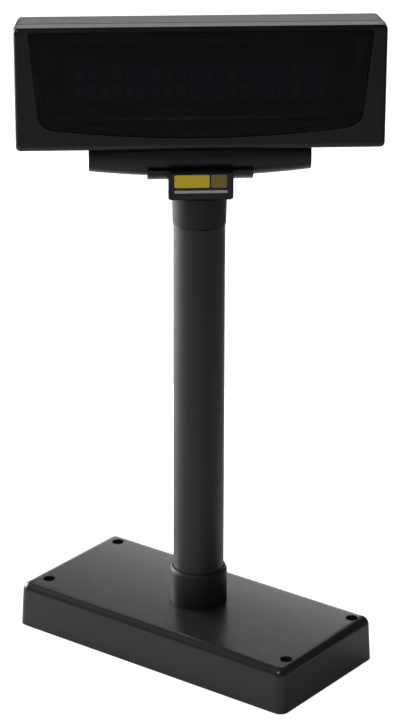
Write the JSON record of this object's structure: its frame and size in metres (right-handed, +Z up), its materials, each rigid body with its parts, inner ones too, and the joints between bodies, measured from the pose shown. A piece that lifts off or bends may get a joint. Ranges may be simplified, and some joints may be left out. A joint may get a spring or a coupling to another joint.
{
  "type": "customer pole display",
  "caption": "Wide black display head with a smoked window on a tilting, swivelling neck, carried by a round pole on a weighted rectangular base.",
  "frame": {"origin": "on the table under the pole's axis, which is about 2 mm from the middle of the base in X and Y", "axes": "+Z up along the pole, X along the base's long side, -Y towards the base's front; the head is turned 40 degrees about Z from the base at rest"},
  "size_m": [0.2144, 0.1658, 0.4155],
  "materials": {
    "base_shell": "fine textured dark grey moulding",
    "plated_steel": "zinc plated pressed steel",
    "cast_weight": "painted cast weight",
    "rubber_foot": "moulded rubber",
    "screw_steel": "zinc plated steel",
    "circuit_board": "solder-masked glass epoxy board",
    "black_moulding": "black connector moulding",
    "chip_package": "moulded component package",
    "pole_paint": "satin black paint on steel tube",
    "pole_plastic": "satin black moulding",
    "cable_jacket": "black flexible jacket",
    "head_plastic": "fine textured black moulding",
    "label_film": "printed label on a thin plate",
    "smoked_window": "smoked acrylic filter",
    "display_glass": "display tube glass",
    "lead_metal": "tinned lead frame",
    "foam": "black foam"
  },
  "bodies": {
    "base_and_pole": {"base_cover": "base_shell", "base_plate": "plated_steel", "ballast_weight": "cast_weight", "foot_front_left": "rubber_foot", "foot_front_right": "rubber_foot", "foot_rear_left": "rubber_foot", "foot_rear_right": "rubber_foot", "plate_screw_front_left": "screw_steel", "plate_screw_front_right": "screw_steel", "plate_screw_rear_left": "screw_steel", "plate_screw_rear_right": "screw_steel", "interface_board": "circuit_board", "data_jack": "black_moulding", "power_jack": "black_moulding", "interface_chip": "chip_package", "base_header": "black_moulding", "pole_collar": "pole_plastic", "pole_tube": "pole_paint", "collar_screw_front_left": "screw_steel", "collar_screw_front_right": "screw_steel", "collar_screw_rear_left": "screw_steel", "collar_screw_rear_right": "screw_steel", "pole_lock_screw": "screw_steel", "pole_coupling": "pole_plastic", "pole_harness": "cable_jacket"},
    "neck": {"neck_block": "head_plastic", "neck_label": "label_film", "swivel_stem": "screw_steel", "swivel_washer": "screw_steel", "swivel_nut": "screw_steel", "hinge_pin_left": "screw_steel", "friction_washer_left": "screw_steel", "hinge_clip_left": "screw_steel", "hinge_pin_right": "screw_steel", "friction_washer_right": "screw_steel", "hinge_clip_right": "screw_steel"},
    "head": {"tilt_cradle": "head_plastic", "front_bezel": "head_plastic", "filter_window": "smoked_window", "rear_housing": "head_plastic", "vfd_tube": "display_glass", "vfd_lead_frame": "lead_metal", "foam_frame": "foam", "display_board": "circuit_board", "controller_chip": "chip_package", "driver_chip_left": "chip_package", "driver_chip_right": "chip_package", "converter_transformer": "chip_package", "head_header": "black_moulding", "head_capacitor": "chip_package", "head_lead": "cable_jacket", "housing_screw_lower_left": "screw_steel", "housing_screw_lower_right": "screw_steel", "housing_screw_upper_left": "screw_steel", "housing_screw_upper_right": "screw_steel", "board_screw_left": "screw_steel", "board_screw_right": "screw_steel", "cradle_screw_left": "screw_steel", "cradle_screw_right": "screw_steel"}
  },
  "joints": [
    {"name": "neck_swivel", "type": "hinge", "parent": "base_and_pole", "child": "neck", "pos_m": [0, 0, 0.3075], "axis": [0, 0, 1], "range_deg": [-180, 100]},
    {"name": "head_tilt", "type": "hinge", "parent": "neck", "child": "head", "pos_m": [0, 0, 0.3325], "axis": [-0.766, -0.6428, 0], "range_deg": [-5, 30]}
  ]
}
